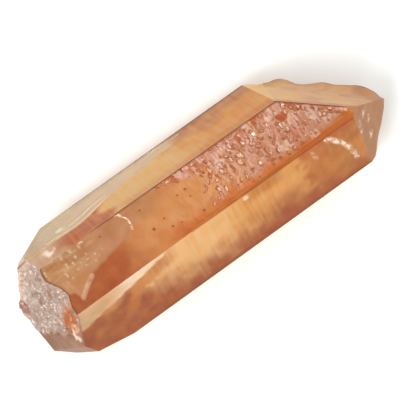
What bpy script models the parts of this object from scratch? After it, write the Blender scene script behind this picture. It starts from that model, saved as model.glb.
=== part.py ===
"""Tangerine quartz: one natural crystal point, lying on one of its prism faces.

A quartz point is a six-sided prism whose faces meet at 60 degrees, closed by sloping
rhombohedral faces over the prism faces.  The solid is carved that way: a block is cut
by one plane for each crystal face, then by the planes of the broken base.  Each face is
then divided and given its own relief: growth pits, striations and granular fracture.

Crystal frame, in millimetres: X is the long axis, with the tip toward +X, and Z is up.
The last step moves the solid so that the origin is under the middle of its box, and
turns millimetres into metres.
"""
import math

import bmesh
import bpy
import numpy as np
from mathutils import Vector, noise

NAME = "quartz_point"
COLLECTION = "tangerine_quartz"
METRES_PER_MM = 0.001

# Prism faces: direction round the long axis, in degrees from +Y toward +Z, distance from
# the axis in mm, and taper toward the tip in degrees.
PRISM_FACES = {
    "upper_back": (30, 9.09, 1.51),
    "top": (90, 7.62, 0.24),
    "upper_front": (150, 4.89, -0.72),
    "lower_front": (210, 5.80, -0.51),
    "rest": (270, 9.65, 0.0),
    "lower_back": (330, 12.10, 0.52),
}
# Worn rim where the top face meets the upper front face, wider toward the tip.
RIM = (120, 7.197, 0.38)

# Rhombohedral faces lean 38.22 degrees from their prism face, quartz's own angle.
RHOMB_LEAN = 38.22
RHOMB_FACES = {
    "major_back": (30, 16.87),
    "major_front": (150, 18.15),
    "major_under": (270, 19.79),
    "minor_top": (90, 20.05),
    "minor_front": (210, 19.66),
    "minor_back": (330, 26.2),
}

# A narrow shoulder beside the back rhombohedral face, then the breaks of the base: the
# outward direction of each, and a point that it passes through.
BREAKS = {
    "shoulder": ((0.57, 0.72, 0.40), (16.27, 5.6, 7.62)),
    "base": ((-1.0, 0.0, 0.26), (-21.6, 0.0, 0.0)),
    "chip_back": ((-0.363, 0.915, 0.176), (-20.5, 9.9, 2.4)),
    "chip_corner": ((-0.70, 0.66, 0.27), (-20.7, 9.6, 2.4)),
    "chip_heel": ((-0.55, 0.83, -0.14), (-22.0, 9.4, -1.4)),
    "chip_front": ((-0.20, -0.93, -0.30), (-13.5, -6.1, -0.9)),
    "chip_low": ((-0.758, -0.652, 0.0), (-20.3, -4.6, -1.5)),
}

# Size of the cells each face is divided into, in mm: along the crystal, and across it.
# The prism faces share one step along the crystal, so that their cells meet at the edges.
PRISM_STEP = 0.96
CELLS = {
    "top": (PRISM_STEP / 2, 0.5),
    "rim": (PRISM_STEP, 2.0),
    "upper_back": (PRISM_STEP, 2.2),
    "upper_front": (PRISM_STEP, 2.0),
    "lower_front": (PRISM_STEP, 2.4),
    "lower_back": (PRISM_STEP, 2.4),
    "base": (0.8, 0.8),
    "chip_low": (1.2, 1.2),
    "chip_back": (1.4, 1.4),
    "chip_corner": (1.0, 1.0),
    "chip_heel": (1.4, 1.4),
    "major_back": (1.3, 1.3),
    "major_front": (1.3, 1.3),
    "major_under": (1.8, 1.8),
    "minor_front": (1.3, 1.3),
}

# Pits and growth ledges of the top face.
PIT_DEPTH = 0.20
PIT_LENGTH_ALONG = 0.95
PIT_LENGTH_ACROSS = 1.9
PITS_FADE_FROM_X = 6.0
PITS_FADE_TO_X = -14.0
RIM_MARGIN = 0.5
LEDGE_HEIGHT = 0.14

# Striations: shallow steps across the prism faces, square to the long axis.
STRIATION_HEIGHT = 0.07
STRIATION_SPACING = 2.4

# Granular fracture of the base.
GRAIN_HEIGHT = 0.40
GRAIN_SIZE = 1.15
FRACTURE_SWELL = 0.35
FRACTURE_SWELL_SIZE = 7.0
FRACTURE_REACH = 2.4
# The foot of the break is smooth: it lies beyond the line through these two (y, z) points.
FOOT_LINE = ((2.0, -7.4), (-2.5, 3.4))

# Dents (negative) and lumps (positive): centre, radius, height and push direction, in mm.
DENTS = {
    "ridge_chip": ((-18.3, 6.9, 7.3), 2.4, -0.5, (0.0, 0.5, 0.87)),
    "ridge_wear": ((-15.0, 6.6, 7.6), 3.0, -0.5, (0.0, 0.5, 0.87)),
    "ridge_nick": ((-9.3, 7.0, 7.5), 1.1, -0.22, (0.0, 0.5, 0.87)),
    "base_brow": ((-20.1, 5.2, 7.3), 2.0, 0.7, (-1.0, 0.0, 0.0)),
    "base_bite": ((-19.6, 2.0, 7.5), 2.0, -0.6, (-1.0, 0.0, 0.26)),
    "hollow": ((-20.9, 0.5, 2.9), 1.6, -0.9, (-1.0, 0.0, 0.2)),
    "round_lump": ((-20.5, -0.9, 4.3), 1.2, 0.5, (-0.7, -0.4, 0.6)),
    "white_lump": ((-20.9, -1.9, 2.8), 1.1, 0.45, (-0.5, -0.6, 0.6)),
    "low_lump": ((-24.0, 6.6, -8.0), 1.4, 0.4, (-0.6, 0.8, 0.0)),
    "edge_swell": ((28.0, 1.8, -4.4), 4.2, 0.95, (0.6, 0.78, 0.0)),
    "edge_swell_low": ((26.0, 4.6, -6.4), 3.4, 0.4, (0.6, 0.78, 0.0)),
    "edge_scallop": ((22.6, 8.4, -8.0), 2.6, -0.35, (0.5, 0.8, 0.0)),
    "edge_notch": ((18.4, 10.4, -3.6), 1.6, -0.35, (0.5, 0.85, 0.0)),
    "edge_peak": ((20.9, 9.6, -6.2), 2.4, 0.55, (0.6, 0.78, 0.0)),
    "edge_swell_mid": ((24.8, 6.4, -6.4), 2.6, 0.35, (0.6, 0.78, 0.0)),
    "tip_chip": ((29.5, -0.9, -2.2), 1.6, -0.3, (1.0, 0.2, 0.0)),
    "front_scallop": ((26.6, -5.6, -2.2), 2.4, -0.3, (0.4, -0.9, 0.0)),
}

# Middle of the finished solid's box in the crystal frame.
BOX_MIDDLE = (2.5, 3.05)

# The starting block, larger than the crystal on every side.
BLOCK_SIZE = 120.0
MERGE_DISTANCE = 0.05


def unit(direction):
    return Vector(direction).normalized()


def prism_normal(angle, taper):
    a, t = math.radians(angle), math.radians(taper)
    return Vector((math.sin(t), math.cos(a) * math.cos(t), math.sin(a) * math.cos(t)))


def face_planes():
    """Every plane of the crystal: name -> (outward unit normal, distance from the origin)."""
    planes = {}
    for name, (angle, distance, taper) in PRISM_FACES.items():
        planes[name] = (prism_normal(angle, taper), distance)
    angle, distance, taper = RIM
    planes["rim"] = (prism_normal(angle, taper), distance)
    for name, (angle, distance) in RHOMB_FACES.items():
        planes[name] = (prism_normal(angle, RHOMB_LEAN), distance)
    for name, (direction, point) in BREAKS.items():
        normal = unit(direction)
        planes[name] = (normal, normal.dot(Vector(point)))
    return planes


PLANES = face_planes()
PLANE_NAMES = list(PLANES)


def carve(bm, layer, name):
    """Cut away what lies outside the named plane, and close the cut with one face."""
    normal, distance = PLANES[name]
    cut = bmesh.ops.bisect_plane(
        bm,
        geom=bm.verts[:] + bm.edges[:] + bm.faces[:],
        dist=1e-5,
        plane_co=normal * distance,
        plane_no=normal,
        clear_outer=True,
    )
    rim_edges = [e for e in cut["geom_cut"] if isinstance(e, bmesh.types.BMEdge)]
    open_edges = [e for e in rim_edges if e.is_boundary]
    if not open_edges:
        return
    filled = bmesh.ops.edgeloop_fill(bm, edges=open_edges)
    for face in filled["faces"]:
        face[layer] = PLANE_NAMES.index(name) + 1


def divide(bm, layer, name):
    """Divide the named face into cells by cutting it with two families of planes."""
    normal, _ = PLANES[name]
    number = PLANE_NAMES.index(name) + 1
    axis = Vector((1, 0, 0))
    across = normal.cross(axis).normalized()
    on_prism = name in PRISM_FACES or name == "rim"
    along = axis if on_prism else across.cross(normal).normalized()
    for direction, step in zip((along, across), CELLS[name]):
        faces = [f for f in bm.faces if f[layer] == number]
        reach = [direction.dot(v.co) for f in faces for v in f.verts]
        first, last = math.ceil(min(reach) / step), math.floor(max(reach) / step)
        for i in range(first, last + 1):
            faces = [f for f in bm.faces if f[layer] == number]
            edges = list({e for f in faces for e in f.edges})
            verts = list({v for f in faces for v in f.verts})
            bmesh.ops.bisect_plane(
                bm,
                geom=verts + edges + faces,
                dist=1e-4,
                plane_co=direction * (i * step),
                plane_no=direction,
            )


def smooth(value):
    value = min(1.0, max(0.0, value))
    return value * value * (3 - 2 * value)


def ramp(value, start, end):
    return smooth((value - start) / (end - start))


def edge_distance(point, name):
    """How far a point on the named face is from that face's nearest edge."""
    normal, _ = PLANES[name]
    nearest = math.inf
    for other, (other_normal, other_distance) in PLANES.items():
        if other == name:
            continue
        sine = normal.cross(other_normal).length
        nearest = min(nearest, (other_distance - other_normal.dot(point)) / max(sine, 0.2))
    return max(0.0, nearest)


def top_relief(point):
    """Crowded pits, longer across the crystal, that thin out toward the base."""
    amount = ramp(point.x, PITS_FADE_TO_X, PITS_FADE_FROM_X)
    inside = ramp(edge_distance(point, "top"), 0.1, RIM_MARGIN)
    at = Vector((point.x / PIT_LENGTH_ALONG, point.y / PIT_LENGTH_ACROSS, 0.0))
    rough = noise.noise(at) + 0.5 * noise.noise(at * 2.1 + Vector((7.0, 3.0, 0.0)))
    plate = noise.noise(Vector((point.x / 6.0, point.y / 3.5, 4.0)))
    ledge = LEDGE_HEIGHT * (ramp(plate, -0.05, 0.05) - 1.0)
    return inside * amount * (ledge + PIT_DEPTH * (rough - 0.35))


def striation_relief(point, name):
    """Steps that run across the face: their height changes along the crystal only."""
    seed = PLANE_NAMES.index(name) * 11.0
    inside = ramp(edge_distance(point, name), 0.0, 1.2)
    steps = noise.noise(Vector((point.x / STRIATION_SPACING, seed, 0.0)))
    waves = noise.noise(Vector((point.x / 5.0, point.y / 3.0, point.z / 3.0 + seed)))
    return inside * STRIATION_HEIGHT * (steps + waves - 0.3)


def cap_relief(point, name):
    """The sloping faces are the smoothest: a low, wide waviness."""
    inside = ramp(edge_distance(point, name), 0.0, 2.0)
    return 0.10 * inside * noise.noise(point / 3.2)


def relief(point, name):
    if name == "top":
        return top_relief(point)
    if name in ("upper_back", "upper_front", "lower_front", "lower_back"):
        return striation_relief(point, name)
    if name.startswith("major"):
        return cap_relief(point, name)
    return 0.0


def above_foot(point):
    """How far a point is from the smooth foot of the break: negative on the foot."""
    (y1, z1), (y2, z2) = FOOT_LINE
    run, rise = y2 - y1, z2 - z1
    return ((point.y - y1) * rise - (point.z - z1) * run) / math.hypot(run, rise)


def fracture(point):
    """Height of the broken base at a point: swells and grains, fading up the crystal."""
    normal, distance = PLANES["base"]
    depth = distance - normal.dot(point)
    fade = 1.0 - ramp(depth, 0.0, FRACTURE_REACH)
    if fade == 0.0:
        return 0.0
    face = Vector((0.0, point.y, point.z))
    swell = noise.noise(face / FRACTURE_SWELL_SIZE + Vector((3.1, 0.4, 0.0)))
    grains = noise.noise(face / GRAIN_SIZE) + 0.6 * noise.noise(face / (GRAIN_SIZE * 0.5))
    border = min(edge_distance(point, "base"), 3.0)
    calm = 0.35 + 0.65 * ramp(border, 0.0, 1.2)
    calm *= 0.15 + 0.85 * ramp(above_foot(point), -0.6, 0.4)
    return fade * (FRACTURE_SWELL * swell + GRAIN_HEIGHT * calm * grains)


def face_shift(names, heights):
    """The shortest move that raises a vertex by its height over each of its faces."""
    normals = np.array([PLANES[n][0] for n in names])
    damped = normals @ normals.T + 0.05 * np.eye(len(names))
    return Vector(normals.T @ np.linalg.solve(damped, np.array(heights)))


def shape_surface(bm, layer):
    """Move every vertex by its faces' relief, then by the fracture, dents and lumps."""
    rest_height = -PRISM_FACES["rest"][1]
    for vert in bm.verts:
        point = vert.co.copy()
        names = sorted({PLANE_NAMES[f[layer] - 1] for f in vert.link_faces})
        heights = [relief(point, n) for n in names]
        if len(names) == 1:
            vert.co += PLANES[names[0]][0] * heights[0]
        elif any(heights):
            vert.co += face_shift(names, heights)
        vert.co.x -= fracture(point)
        for centre, radius, height, direction in DENTS.values():
            share = 1.0 - (point - Vector(centre)).length_squared / radius**2
            if share > 0.0:
                vert.co += unit(direction) * height * share**2
        if "rest" in names:
            vert.co.z = rest_height
        else:
            vert.co.z = max(vert.co.z, rest_height)


def close_and_triangulate(bm):
    bmesh.ops.triangulate(bm, faces=bm.faces[:], ngon_method="EAR_CLIP")
    bmesh.ops.dissolve_degenerate(bm, dist=MERGE_DISTANCE, edges=bm.edges[:])
    bmesh.ops.remove_doubles(bm, verts=bm.verts[:], dist=MERGE_DISTANCE)
    bmesh.ops.triangulate(bm, faces=bm.faces[:])
    bmesh.ops.recalc_face_normals(bm, faces=bm.faces[:])


def to_world(bm):
    """Origin under the middle of the box, on the rest face, in metres."""
    middle = Vector((BOX_MIDDLE[0], BOX_MIDDLE[1], -PRISM_FACES["rest"][1]))
    for vert in bm.verts:
        vert.co = (vert.co - middle) * METRES_PER_MM


def quartz_material():
    """Clear quartz with an orange iron-oxide stain."""
    material = bpy.data.materials.new("iron stained quartz")
    material.use_nodes = True
    shader = material.node_tree.nodes["Principled BSDF"]
    shader.inputs["Base Color"].default_value = (0.62, 0.27, 0.09, 1.0)
    shader.inputs["Roughness"].default_value = 0.12
    shader.inputs["Metallic"].default_value = 0.0
    shader.inputs["IOR"].default_value = 1.544
    return material


def quartz_mesh():
    bm = bmesh.new()
    layer = bm.faces.layers.int.new("plane")
    bmesh.ops.create_cube(bm, size=BLOCK_SIZE)
    for name in PLANE_NAMES:
        carve(bm, layer, name)
    for name in CELLS:
        divide(bm, layer, name)
    shape_surface(bm, layer)
    close_and_triangulate(bm)
    to_world(bm)
    mesh = bpy.data.meshes.new(NAME)
    bm.to_mesh(mesh)
    bm.free()
    return mesh


def main():
    for old in list(bpy.data.objects):
        bpy.data.objects.remove(old)
    collection = bpy.data.collections.new(COLLECTION)
    bpy.context.scene.collection.children.link(collection)
    crystal = bpy.data.objects.new(NAME, quartz_mesh())
    crystal.data.materials.append(quartz_material())
    collection.objects.link(crystal)
    box = [Vector(corner) for corner in crystal.bound_box]
    for axis in range(3):
        low, high = min(c[axis] for c in box), max(c[axis] for c in box)
        print(f"{'XYZ'[axis]} {low * 1000:.2f} to {high * 1000:.2f} mm")
    print(len(crystal.data.polygons), "triangles")


main()
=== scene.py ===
# %% [markdown]
# # Tangerine quartz
# Tangerine quartz is clear rock crystal that grew where iron was in the water. A thin
# orange skin of iron oxide covers its faces and has crept into its cracks. This lesson
# builds one such crystal point, lying on a prism face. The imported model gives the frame:
# its place, its size and its main faces. Everything here is made again, finer, in its place.
#
# A crystal could be sculpted by hand. Here it is written as rules instead: its planes
# first, then what growth, breaking and wear did to each plane, then where the iron
# settled. Rules keep the angles true, and each one can be changed by itself.

# %% Load the frame
import math

import bmesh
import bpy
import numpy as np
from mathutils import Matrix, Vector, noise


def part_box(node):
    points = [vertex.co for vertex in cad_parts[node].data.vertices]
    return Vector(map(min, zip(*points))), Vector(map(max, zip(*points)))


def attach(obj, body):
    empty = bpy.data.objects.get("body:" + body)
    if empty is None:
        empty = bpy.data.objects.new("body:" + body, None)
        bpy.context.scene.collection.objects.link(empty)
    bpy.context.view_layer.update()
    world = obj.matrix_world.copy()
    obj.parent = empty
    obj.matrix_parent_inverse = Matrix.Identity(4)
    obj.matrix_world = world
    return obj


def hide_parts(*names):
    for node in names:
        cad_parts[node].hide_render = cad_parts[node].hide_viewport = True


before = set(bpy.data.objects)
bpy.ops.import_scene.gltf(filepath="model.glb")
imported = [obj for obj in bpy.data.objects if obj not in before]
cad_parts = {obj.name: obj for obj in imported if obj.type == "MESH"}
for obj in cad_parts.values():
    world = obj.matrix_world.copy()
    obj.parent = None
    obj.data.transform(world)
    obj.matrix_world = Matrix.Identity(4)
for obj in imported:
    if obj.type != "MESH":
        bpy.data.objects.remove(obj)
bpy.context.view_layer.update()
NODE = "quartz_point"
MM = 0.001
low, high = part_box(NODE)
print("packed crystal, mm:", [round(v / MM, 1) for v in high - low])

# %% [markdown]
# ## The crystal's planes
# Quartz always grows with the same angles: six prism faces stand 60 degrees apart round
# the long axis. Only their distances differ from crystal to crystal. A six-sided cylinder
# could be scaled and pulled about, but its angles would go wrong as soon as one face is
# wider than the next. So each face is written as a plane: a direction, a distance from
# the long axis, and a small taper, because steps on a growing face make it lean. The
# crystal frame is in millimetres, with X along the axis and toward the tip, and places
# in this lesson are given in that frame. The worn rim beside the top is a plane too.

# %% Prism faces: angle round the axis, distance from it, taper
AXIS_IN_ROW = Vector((-2.5, -3.05, 9.65))
PRISM_FACES = {
    "upper_back": (30, 9.09, 1.51),
    "top": (90, 7.62, 0.24),
    "upper_front": (150, 4.89, -0.72),
    "lower_front": (210, 5.80, -1.4),
    "rest": (270, 9.65, 0.0),
    "lower_back": (330, 12.10, 0.52),
    "rim": (120, 7.197, 0.38),
}


def prism_normal(angle, taper):
    a, t = math.radians(angle), math.radians(taper)
    return Vector((math.sin(t), math.cos(a) * math.cos(t), math.sin(a) * math.cos(t)))


PLANES = {}
for name, (angle, distance, taper) in PRISM_FACES.items():
    PLANES[name] = (prism_normal(angle, taper), distance)
print(len(PLANES), "planes along the prism")

# %% [markdown]
# ## The sloping faces of the tip
# The tip is closed by two sets of three sloping faces. Each leans 38.22 degrees from the
# prism face that it stands over, and one set is mostly larger than the other. Their
# distances decide whether the tip is a point or, as here, a slanted roof.

# %% Faces of the tip: angle round the axis, distance from the middle
RHOMB_LEAN = 38.22
RHOMB_FACES = {
    "major_back": (30, 16.87),
    "major_front": (150, 18.15),
    "major_under": (270, 19.79),
    "minor_top": (90, 20.05),
    "minor_front": (210, 19.66),
    "minor_back": (330, 26.2),
}
for name, (angle, distance) in RHOMB_FACES.items():
    PLANES[name] = (prism_normal(angle, RHOMB_LEAN), distance)
print(len(RHOMB_FACES), "sloping faces")

# %% [markdown]
# ## Where it broke
# Quartz doesn't split along planes, so where this point came off its rock the end is
# rough. The break as a whole still has a direction, and so have the chips round it and
# the worn shoulder by the tip. They are planes here as well, and the base gets its
# roughness later.

# %% Breaks and chips: direction, and a point on the plane
BREAKS = {
    "shoulder": ((0.57, 0.72, 0.40), (16.27, 5.6, 7.62)),
    "base": ((-1.0, 0.0, 0.26), (-21.6, 0.0, 0.0)),
    "chip_back": ((-0.363, 0.915, 0.176), (-20.5, 9.9, 2.4)),
    "chip_corner": ((-0.70, 0.66, 0.27), (-20.7, 9.6, 2.4)),
    "chip_heel": ((-0.55, 0.83, -0.14), (-22.0, 9.4, -1.4)),
    "chip_front": ((-0.20, -0.93, -0.30), (-13.5, -6.1, -0.9)),
    "chip_low": ((-0.758, -0.652, 0.0), (-20.3, -4.6, -1.5)),
}
for name, (direction, point) in BREAKS.items():
    normal = Vector(direction).normalized()
    PLANES[name] = (normal, normal.dot(Vector(point)))
PLANE_NAMES = list(PLANES)
print(len(PLANES), "planes in all")

# %% [markdown]
# ## Carving the solid
# A plane cut that throws away everything outside it, and closes the hole with one face,
# is how a stone cutter works too. Boolean cuts would do the same, but more slowly, and
# they forget which face came from where. `bisect_plane` keeps one mesh throughout, and a
# whole number on each face remembers its plane. That number later gives each face its
# own relief and its own stain.

# %% Carve a block by every plane
BLOCK = 120.0
CARVE_SLACK = 1e-5


def carve(bm, layer, name):
    normal, distance = PLANES[name]
    cut = bmesh.ops.bisect_plane(
        bm, geom=bm.verts[:] + bm.edges[:] + bm.faces[:], dist=CARVE_SLACK,
        plane_co=normal * distance, plane_no=normal, clear_outer=True)
    edges = [e for e in cut["geom_cut"] if isinstance(e, bmesh.types.BMEdge)]
    edges = [e for e in edges if e.is_boundary]
    if edges:
        for face in bmesh.ops.edgeloop_fill(bm, edges=edges)["faces"]:
            face[layer] = PLANE_NAMES.index(name) + 1


bm = bmesh.new()
plane_layer = bm.faces.layers.int.new("plane")
bmesh.ops.create_cube(bm, size=BLOCK)
for name in PLANE_NAMES:
    carve(bm, plane_layer, name)
print(len(bm.faces), "crystal faces and breaks")

# %% [markdown]
# ## Dividing the faces
# Relief needs points to move. Subdividing every face alike would spend most of them where
# nothing happens. Instead each face is cut into cells of its own size, and the table says
# how long and how wide they are. Striations run across the prism, so its cells are short
# along the crystal and wide across it. The pitted top and the granular break get small
# square cells, and hidden faces get large ones.

# %% How long and how wide the cells of each face are
FINE_STEP = 0.16
CELLS = {
    "top": (0.085, 0.115),
    "rim": (FINE_STEP, 0.4),
    "upper_back": (0.24, 0.3),
    "upper_front": (FINE_STEP, 0.35),
    "lower_front": (2 * FINE_STEP, 0.9),
    "lower_back": (2 * FINE_STEP, 0.9),
    "base": (0.18, 0.18),
    "chip_low": (0.3, 0.3),
    "chip_back": (0.3, 0.3),
    "chip_corner": (0.3, 0.3),
    "chip_heel": (0.4, 0.4),
    "chip_front": (0.5, 0.5),
    "shoulder": (0.3, 0.3),
    "major_back": (0.3, 0.3),
    "major_front": (0.3, 0.3),
    "major_under": (0.6, 0.6),
    "minor_front": (0.4, 0.4),
}
print("finest cell, mm:", min(min(sizes) for sizes in CELLS.values()))

# %% [markdown]
# ## Cutting the cells
# The cells are cut by two families of parallel planes, one along the face and one across
# it. Cutting the whole mesh at each plane would take minutes, and it would also cut the
# faces that lie beyond. So each cut is given only the parts of the face that it crosses,
# and parts that lie behind it are never looked at again. Coarse faces go first, because
# their long cuts are cheap while the mesh is still small.

# %% Divide each face into cells
CELL_SLACK = 1e-4
DONE_SLACK = 1e-3


def divide(bm, layer, name):
    normal, _ = PLANES[name]
    number = PLANE_NAMES.index(name) + 1
    axis = Vector((1, 0, 0))
    across = normal.cross(axis).normalized()
    along = axis if name in PRISM_FACES else across.cross(normal).normalized()
    for direction, step in zip((along, across), CELLS[name]):
        parts = [f for f in bm.faces if f[layer] == number]
        reach = [direction.dot(v.co) for f in parts for v in f.verts]
        first, last = math.ceil(min(reach) / step), math.floor(max(reach) / step)
        for i in range(first, last + 1):
            here = i * step
            crossed = []
            for face in parts:
                sides = [direction.dot(v.co) - here for v in face.verts]
                if min(sides) < -CELL_SLACK and max(sides) > CELL_SLACK:
                    crossed.append(face)
            edges = list({e for f in crossed for e in f.edges})
            verts = list({v for f in crossed for v in f.verts})
            cut = bmesh.ops.bisect_plane(
                bm, geom=verts + edges + crossed, dist=CELL_SLACK,
                plane_co=direction * here, plane_no=direction)
            new = {g for g in cut["geom"] if isinstance(g, bmesh.types.BMFace)}
            done = {f for f in new | set(crossed)
                    if max(direction.dot(v.co) for v in f.verts) <= here + DONE_SLACK}
            parts = [f for f in set(parts) | new if f not in done]


for name in sorted(CELLS, key=lambda n: -CELLS[n][1]):
    divide(bm, plane_layer, name)
print(len(bm.faces), "cells")

# %% [markdown]
# ## Soft steps and the way to an edge
# Growth, wear and stain all change over some distance and then stop. One smooth step,
# used everywhere below with its start and its end in millimetres, says so. Most of them
# also fade out toward the edges of a face, so that the crystal stays crisp. On a shape
# made of planes the way to the nearest edge needs no search through the mesh: it follows
# from the planes alone.

# %% A soft step, and the distance to the nearest edge
LEAST_SINE = 0.2  # keeps two nearly parallel planes from looking far apart


def ramp(value, start, end):
    """Rise softly from 0 at start to 1 at end. With start above end it falls instead."""
    t = min(1.0, max(0.0, (value - start) / (end - start)))
    return t * t * (3 - 2 * t)


def nearest_edge(point, name):
    """Distance from a point on the named face to its nearest edge, and the face beyond it."""
    normal, _ = PLANES[name]
    return min(
        ((distance - other.dot(point)) / max(normal.cross(other).length, LEAST_SINE), beyond)
        for beyond, (other, distance) in PLANES.items() if beyond != name)


def edge_distance(point, name):
    return max(0.0, nearest_edge(point, name)[0])


print("middle of the top, mm to its nearest edge:",
      round(edge_distance(Vector((0.0, 2.5, 7.62)), "top"), 2))

# %% [markdown]
# ## Rough ground on the top
# The top face grew last, in layers that never closed. Toward the tip it is uneven ground:
# low plates with ledges between them, and dimples that are longer across the crystal than
# along it. Smooth noise stretched to those sizes gives both. The ledges are the same kind
# of noise, put through a steep step.

# %% Plates and dimples of the top
DIMPLE_LENGTH, DIMPLE_WIDTH, DIMPLE_DEPTH = 0.95, 1.9, 0.10
PLATE_LENGTH, PLATE_WIDTH, PLATE_HEIGHT = 6.0, 3.5, 0.14
ROUGH_FROM_X, ROUGH_FULL_X = -14.0, 6.0
ROUGH_MARGIN = 0.1, 0.5
ROUGH_LEVEL = 0.35  # sinks the ground, so that the edges of the face stand proud


def top_relief(point):
    inside = ramp(edge_distance(point, "top"), *ROUGH_MARGIN)
    at = Vector((point.x / DIMPLE_LENGTH, point.y / DIMPLE_WIDTH, 0.0))
    dimples = noise.noise(at) + 0.5 * noise.noise(at * 2.1 + Vector((7.0, 3.0, 0.0)))
    plate = noise.noise(Vector((point.x / PLATE_LENGTH, point.y / PLATE_WIDTH, 4.0)))
    ledge = PLATE_HEIGHT * (ramp(plate, -0.05, 0.05) - 1.0)
    amount = ramp(point.x, ROUGH_FROM_X, ROUGH_FULL_X)
    return inside * amount * (ledge + DIMPLE_DEPTH * (dimples - ROUGH_LEVEL))


print("top relief at the middle, mm:", round(top_relief(Vector((8.0, 2.5, 7.62))), 3))

# %% [markdown]
# ## Where the small pits crowd
# Over the rough ground lie hundreds of small growth pits. They start along a slanting
# line and crowd toward the tip and the back edge. They are too many and too small to
# place here, so this step only says how crowded they are at each point. A node tree
# makes them later.

# %% How crowded the pits are
# Across the top, as y, and the x where the pits start there.
PIT_LINE = np.array([(-1.0, 9.5), (-0.7, 5.7), (-0.3, 2.4), (3.9, 2.6), (4.5, 1.4), (6.1, -3.1)]).T


def pitted(point):
    """How crowded the small growth pits are: most toward the tip and the back."""
    start = np.interp(point.y, *PIT_LINE) + 1.2 * noise.noise(point / 1.3)
    return ramp(point.x, start - 0.5, start + 0.7)


def crowding(point, inside):
    return ramp(inside, 0.0, 0.35) * pitted(point) * (0.3 + 0.7 * ramp(point.y, -1.5, 1.5))


print("crowding at the middle:", round(crowding(Vector((8.0, 2.5, 7.62)), 1.0), 2))

# %% [markdown]
# ## Steps on the prism faces
# Quartz prisms carry striations: fine steps square to the long axis, left where prism and
# tip faces grew by turns. The broad ones are heights along X here, with slow swells added
# so that no face is dead flat in the light. The fine ones come with the pits. The sloping
# faces have only a faint swell.

# %% Broad steps, slow swells, and where fine lines show
STRIATED = ("upper_back", "upper_front", "lower_front", "lower_back")
STEP_HEIGHT, STEP_SPACING = 0.07, 2.4
SWELL_LENGTH, SWELL_WIDTH = 5.0, 3.0
CAP_SWELL_HEIGHT, CAP_SWELL_SIZE = 0.10, 3.2


def lined(point):
    """Where the upper front face shows its fine lines: least at both ends and low down."""
    along = ramp(point.x, -12.0, -6.0) * (1.0 - 0.7 * ramp(point.x, 9.0, 13.0))
    return along * (0.3 + 0.7 * ramp(point.z, 0.5, 3.0))


def step_relief(point, name):
    seed = PLANE_NAMES.index(name) * 11.0
    inside = ramp(edge_distance(point, name), 0.0, 1.2)
    steps = noise.noise(Vector((point.x / STEP_SPACING, seed, 0.0)))
    swells = noise.noise(Vector(
        (point.x / SWELL_LENGTH, point.y / SWELL_WIDTH, point.z / SWELL_WIDTH + seed)))
    return inside * STEP_HEIGHT * (steps + swells - 0.3)


def cap_relief(point, name):
    inside = ramp(edge_distance(point, name), 0.0, 2.0)
    return CAP_SWELL_HEIGHT * inside * noise.noise(point / CAP_SWELL_SIZE)


def relief(point, name):
    if name == "top":
        return top_relief(point)
    if name in STRIATED:
        return step_relief(point, name)
    if name.startswith("major"):
        return cap_relief(point, name)
    return 0.0


print("striated faces:", ", ".join(STRIATED))

# %% [markdown]
# ## The broken base
# The break looks like coarse sugar: grains about a millimetre across, on a surface that
# swells slowly. Its foot, below a slanting line, is smooth. The whole end moves along X,
# and the move fades over a few millimetres, so the sides are pulled along and no crack
# opens between them and the break.

# %% Swells and grains of the break
GRAIN_HEIGHT, GRAIN_SIZE = 0.40, 1.15
FRACTURE_SWELL, FRACTURE_SWELL_SIZE = 0.35, 7.0
FRACTURE_REACH = 2.4
FOOT_LINE = ((2.0, -7.4), (-2.5, 3.4))  # two points, as (y, z)


def above_foot(point):
    """How far a point is from the smooth foot of the break: negative on the foot."""
    (y1, z1), (y2, z2) = FOOT_LINE
    run, rise = y2 - y1, z2 - z1
    return ((point.y - y1) * rise - (point.z - z1) * run) / math.hypot(run, rise)


def fracture(point):
    normal, distance = PLANES["base"]
    fade = 1.0 - ramp(distance - normal.dot(point), 0.0, FRACTURE_REACH)
    if fade == 0.0:
        return 0.0
    face = Vector((0.0, point.y, point.z))
    swell = noise.noise(face / FRACTURE_SWELL_SIZE + Vector((3.1, 0.4, 0.0)))
    grains = noise.noise(face / GRAIN_SIZE) + 0.6 * noise.noise(face / (GRAIN_SIZE * 0.5))
    border = min(edge_distance(point, "base"), 3.0)
    # Grains are lower near the rim of the break and almost gone on its foot.
    calm = 0.35 + 0.65 * ramp(border, 0.0, 1.2)
    calm *= 0.15 + 0.85 * ramp(above_foot(point), -0.6, 0.4)
    return fade * (FRACTURE_SWELL * swell + GRAIN_HEIGHT * calm * grains)


print("fracture at its middle, mm:", round(fracture(Vector((-21.6, 0.0, 0.0))), 3))

# %% [markdown]
# ## Single chips, lumps and worn places
# Some marks are one of a kind: a bite out of the base, a worn ridge, a swollen edge at
# the tip. Each is a soft push: a centre, a radius, a height and a direction. Pushes stay
# smooth where they overlap, and they leave the mesh closed, which cuts would not.

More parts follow.
